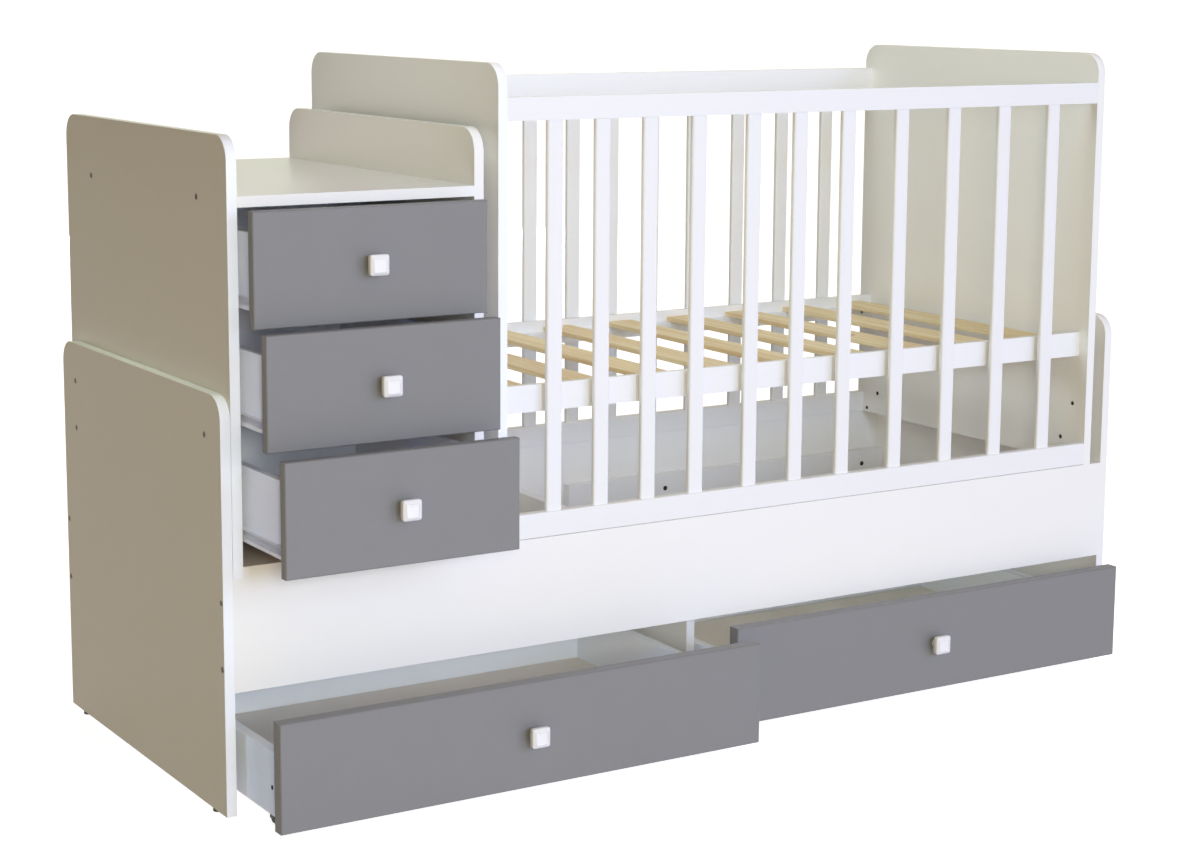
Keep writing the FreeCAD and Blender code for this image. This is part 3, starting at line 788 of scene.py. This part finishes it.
class CRIB_OT_stage(bpy.types.Operator):
    """Set the pale floor, the soft light and the camera"""
    bl_idname = "crib.stage"
    bl_label = "Stage"

    def execute(self, context):
        scene = context.scene
        scene.view_settings.view_transform = "Standard"
        make_floor(scene)
        make_room(scene)
        make_softboxes(scene)
        make_camera(scene)
        return {"FINISHED"}


def make_floor(scene):
    """Pale studio floor that runs out of sight on every side and glows, so that it stays even."""
    reach = 400.0
    grit_size = 40.0 * MM
    glow = 0.82
    mesh = bpy.data.meshes.new("studio_floor")
    corners = [(-reach, -reach, 0.0), (reach, -reach, 0.0), (reach, reach, 0.0), (-reach, reach, 0.0)]
    mesh.from_pydata(corners, [], [(0, 1, 2, 3)])
    material, tree, shader, place = start_material("pale_studio_floor")
    grit = add_node(tree, "ShaderNodeTexNoise",
                    {"Scale": 1.0 / grit_size, "Detail": 3.0}, {"Vector": place})
    sheen = add_node(tree, "ShaderNodeMapRange",
                     {"To Min": 0.75, "To Max": 0.9}, {"Value": grit.outputs["Fac"]})
    shader.inputs["Base Color"].default_value = rgba(scene.crib_colours.floor)
    shader.inputs["Emission Color"].default_value = WHITE
    shader.inputs["Emission Strength"].default_value = glow
    tree.links.new(sheen.outputs["Result"], shader.inputs["Roughness"])
    mesh.materials.append(material)
    floor = bpy.data.objects.new("studio_floor", mesh)
    scene.collection.objects.link(floor)
    floor.visible_diffuse = False


def make_room(scene):
    """Soft light from the room: bright behind and from the floor, warm and dim on the left."""
    world = bpy.data.worlds.new("soft_studio")
    scene.world = world
    world.use_nodes = True
    tree = world.node_tree
    tree.nodes.clear()
    base = (0.60, 0.52, 0.47)
    front_left = (0.48, 0.38, 0.13)
    rear_left = (0.02, 0.0, 0.0)
    behind = (1.3, 1.3, 0.7)
    behind_mirrored = (1.13, 1.22, 1.01)
    above = (0.45, 0.32, 0.30)
    below = (0.35, 0.35, 0.65)
    # Colour of each side of the room, its colour in reflections, its axis, and where along it
    # the colour starts and is full.
    sides = ((behind, behind_mirrored, "Y", 0.5, 0.95),
             (above, above, "Z", 0.45, 1.0),
             (below, below, "Z", -0.1, -0.6))
    path = add_node(tree, "ShaderNodeLightPath")
    towards = add_node(tree, "ShaderNodeTexCoord").outputs["Generated"]
    split = add_node(tree, "ShaderNodeSeparateXYZ", links={"Vector": towards})
    links = {}
    for shade, mirrored, axis, begin, full in sides:
        tint = add_node(tree, "ShaderNodeMix",
                        {"data_type": "RGBA", MIX_FIRST: rgba(shade), MIX_SECOND: rgba(mirrored)},
                        {MIX_SHARE: path.outputs["Is Glossy Ray"]})
        links[MIX_SECOND] = tint.outputs[MIX_RESULT]
        share = add_node(tree, "ShaderNodeMapRange", {"From Min": begin, "From Max": full},
                         {"Value": split.outputs[axis]})
        links[MIX_SHARE] = share.outputs["Result"]
        room = add_node(tree, "ShaderNodeMix", {"data_type": "RGBA", MIX_FIRST: rgba(base)}, links)
        links = {MIX_FIRST: room.outputs[MIX_RESULT]}
    rearward = add_node(tree, "ShaderNodeMapRange", {"From Min": -0.5, "From Max": -0.2},
                        {"Value": split.outputs["Y"]})
    left = add_node(tree, "ShaderNodeMix",
                    {"data_type": "RGBA", MIX_FIRST: rgba(front_left), MIX_SECOND: rgba(rear_left)},
                    {MIX_SHARE: rearward.outputs["Result"]})
    leftward = add_node(tree, "ShaderNodeMapRange", {"From Min": 0.1, "From Max": -0.2},
                        {"Value": split.outputs["X"]})
    lit = add_node(tree, "ShaderNodeMix", {"data_type": "RGBA"},
                   {MIX_SHARE: leftward.outputs["Result"], MIX_FIRST: room.outputs[MIX_RESULT],
                    MIX_SECOND: left.outputs[MIX_RESULT]})
    # The camera itself sees plain white beyond the floor.
    view = add_node(tree, "ShaderNodeMix", {"data_type": "RGBA", MIX_SECOND: WHITE},
                    {MIX_SHARE: path.outputs["Is Camera Ray"], MIX_FIRST: lit.outputs[MIX_RESULT]})
    back = add_node(tree, "ShaderNodeBackground", {"Strength": 1.0}, {"Color": view.outputs[MIX_RESULT]})
    add_node(tree, "ShaderNodeOutputWorld", links={"Surface": back.outputs["Background"]})


def make_softboxes(scene):
    """Cool keys from the front and front right, soft light behind, and fills for what they leave dim."""
    beside_camera = (-2.0, -3.55, 1.25)
    left_of_boxes = (-3.5, -1.6, 1.2)
    crib_middle = (0.0, 0.0, 0.6)
    boxes_middle = (0.0, 0.0, 0.5)
    over_low_panel = (-0.8595, 0.085, 1.25)
    low_panel_top = (-0.8595, 0.085, 0.6)
    left_edges = [frame["nodes"][name] for name in LEFT_EDGES]
    low_panel = left_edges[:1]
    chest_boxes = wearing(scene, "chest", BOX_FINISHES)
    bed_boxes = wearing(scene, "bed_drawer", BOX_FINISHES)
    # Name, width and height in metres, power in watts, colour, place, aim, and the pieces it lights
    # if not all.
    softboxes = (
        ("front_right_key", 4.5, 3.5, 250.0, (0.52, 0.67, 1.0), (3.8, -8.6, 3.4), crib_middle, ()),
        ("front_key", 1.4, 2.0, 275.0, (0.54, 0.69, 1.0), (-0.75, -8.6, 2.2), (-0.1, 0.0, 0.6), ()),
        ("camera_side_fill", 0.6, 0.6, 30.0, (1.0, 0.93, 0.73), beside_camera, boxes_middle, ()),
        ("rear_soft", 3.0, 1.0, 150.0, (0.80, 0.88, 1.0), (2.3, 7.5, 0.5), boxes_middle, ()),
        ("left_top_fill", 1.3, 1.6, 26.0, (0.87, 1.0, 1.0), (-0.87, 0.05, 2.6), (1.0, 0.05, 2.6), ()),
        ("chest_box_fill", 0.6, 0.6, 70.0, (1.0, 0.91, 0.94), beside_camera, boxes_middle, chest_boxes),
        ("bed_box_fill", 0.6, 0.6, 34.0, (1.0, 0.86, 0.75), beside_camera, boxes_middle, bed_boxes),
        ("chest_side_fill", 0.6, 0.6, 10.0, (0.05, 0.2, 1.0), left_of_boxes, (-0.8, -0.3, 0.5),
         chest_boxes),
        ("bed_side_fill", 0.6, 0.6, 27.5, (0.40, 0.58, 1.0), left_of_boxes, (-0.8, -0.3, 0.1),
         bed_boxes),
        ("left_edge_fill", 0.3, 0.6, 27.0, (0.30, 0.55, 1.0), (-0.86, -4.5, 1.4), (-0.86, 0.0, 0.6),
         left_edges),
        ("low_panel_fill", 0.012, 0.62, 1.7, (0.82, 1.0, 0.84), over_low_panel, low_panel_top,
         low_panel),
    )
    for name, width, height, power, colour, place, aim, pieces in softboxes:
        data = bpy.data.lights.new(name, "AREA")
        data.shape = "RECTANGLE"
        data.size = width
        data.size_y = height
        data.energy = power
        data.color = colour
        lamp = bpy.data.objects.new(name, data)
        scene.collection.objects.link(lamp)
        lamp.location = place
        lamp.rotation_euler = (Vector(aim) - Vector(place)).to_track_quat("-Z", "Y").to_euler()
        lamp.visible_camera = False
        lamp.visible_glossy = False
        if pieces:
            lamp.light_linking.receiver_collection = bpy.data.collections.new(name + "_receivers")
        for piece in pieces:
            lamp.light_linking.receiver_collection.objects.link(piece)


def wearing(scene, start, finishes):
    """Pieces whose names have this start and that wear one of the finishes."""
    return [obj for obj in scene.objects if obj.type == "MESH" and obj.name.startswith(start)
            and any(finish in obj.data.materials for finish in finishes)]


def make_camera(scene):
    """Camera at the photograph's place, turned and shifted as its lines show."""
    # In pixels of the photograph.
    picture_width = 1200.0
    picture_height = 863.0
    focal_pixels = 2380.17
    axis_x = 553.74
    axis_y = 362.30
    # In radians.
    turn = 0.541603
    tilt = 0.158750
    roll = 0.003829
    # In metres.
    place = (-2.18858, -3.36980, 1.22631)
    data = bpy.data.cameras.new("photo_camera")
    data.sensor_fit = "HORIZONTAL"
    data.sensor_width = 36.0
    data.lens = focal_pixels * data.sensor_width / picture_width
    data.shift_x = (picture_width / 2.0 - axis_x) / picture_width
    data.shift_y = (axis_y - picture_height / 2.0) / picture_width
    data.clip_end = 1000.0
    camera = bpy.data.objects.new("photo_camera", data)
    scene.collection.objects.link(camera)
    ahead = Vector((math.sin(turn) * math.cos(tilt), math.cos(turn) * math.cos(tilt), -math.sin(tilt)))
    level = Vector((math.cos(turn), -math.sin(turn), 0.0))
    upward = level.cross(ahead)
    right = level * math.cos(roll) + upward * math.sin(roll)
    top = upward * math.cos(roll) - level * math.sin(roll)
    turned = Matrix((right, top, -ahead)).transposed().to_4x4()
    camera.matrix_world = Matrix.Translation(place) @ turned
    scene.camera = camera


class CRIB_PT_panel(bpy.types.Panel):
    """Sidebar panel with the sizes, colours and steps"""
    bl_label = "Convertible crib"
    bl_idname = "CRIB_PT_panel"
    bl_space_type = "VIEW_3D"
    bl_region_type = "UI"
    bl_category = "Crib"

    def draw(self, context):
        for group in (context.scene.crib_sizes, context.scene.crib_colours):
            for name in group.__annotations__:
                self.layout.prop(group, name)
        for step in STEPS:
            self.layout.operator(step.bl_idname)


STEPS = (CRIB_OT_white_boards, CRIB_OT_crib_sides, CRIB_OT_slatted_base, CRIB_OT_drawer_fronts,
         CRIB_OT_drawer_boxes, CRIB_OT_runners, CRIB_OT_knobs, CRIB_OT_castors, CRIB_OT_fixings,
         CRIB_OT_stage)
CLASSES = (CribSizes, CribColours) + STEPS + (CRIB_PT_panel,)


def register():
    """Register the classes and give the scene its sizes and colours."""
    for item in CLASSES:
        bpy.utils.register_class(item)
    bpy.types.Scene.crib_sizes = bpy.props.PointerProperty(type=CribSizes)
    bpy.types.Scene.crib_colours = bpy.props.PointerProperty(type=CribColours)


def unregister():
    """Take the sizes and colours off the scene and unregister the classes."""
    del bpy.types.Scene.crib_colours
    del bpy.types.Scene.crib_sizes
    for item in reversed(CLASSES):
        bpy.utils.unregister_class(item)


def main():
    register()
    bpy.ops.crib.white_boards()
    bpy.ops.crib.crib_sides()
    bpy.ops.crib.slatted_base()
    bpy.ops.crib.drawer_fronts()
    bpy.ops.crib.drawer_boxes()
    bpy.ops.crib.runners()
    bpy.ops.crib.knobs()
    bpy.ops.crib.castors()
    bpy.ops.crib.fixings()
    bpy.ops.crib.stage()


if __name__ == "__main__":
    main()
